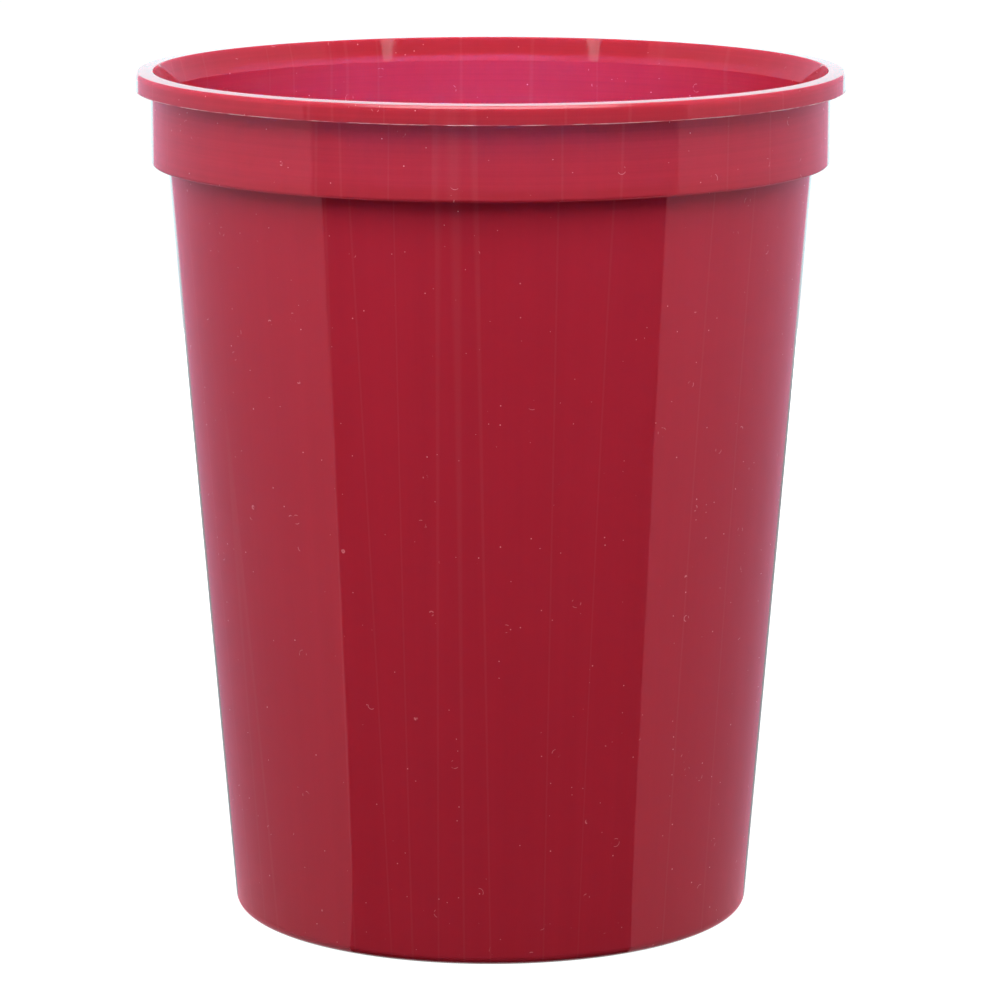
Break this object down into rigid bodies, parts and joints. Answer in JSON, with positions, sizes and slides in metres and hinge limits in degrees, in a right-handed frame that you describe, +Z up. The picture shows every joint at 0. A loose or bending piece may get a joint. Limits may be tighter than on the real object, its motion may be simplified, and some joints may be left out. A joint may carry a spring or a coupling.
{
  "type": "plastic stadium cup",
  "caption": "Tapered round drinking cup moulded in one piece, with a straight collar under a rounded rim and a recessed foot.",
  "frame": {"origin": "centre of the foot ring, on the surface that the cup stands on", "axes": "+Z up along the cup's axis of revolution; +X and +Y are free, because the cup is a body of revolution"},
  "size_m": [0.092, 0.092, 0.1111],
  "materials": {
    "polypropylene": "dark red polypropylene, glossy as moulded, slightly translucent"
  },
  "bodies": {
    "root": {"cup": "polypropylene"}
  },
  "joints": []
}
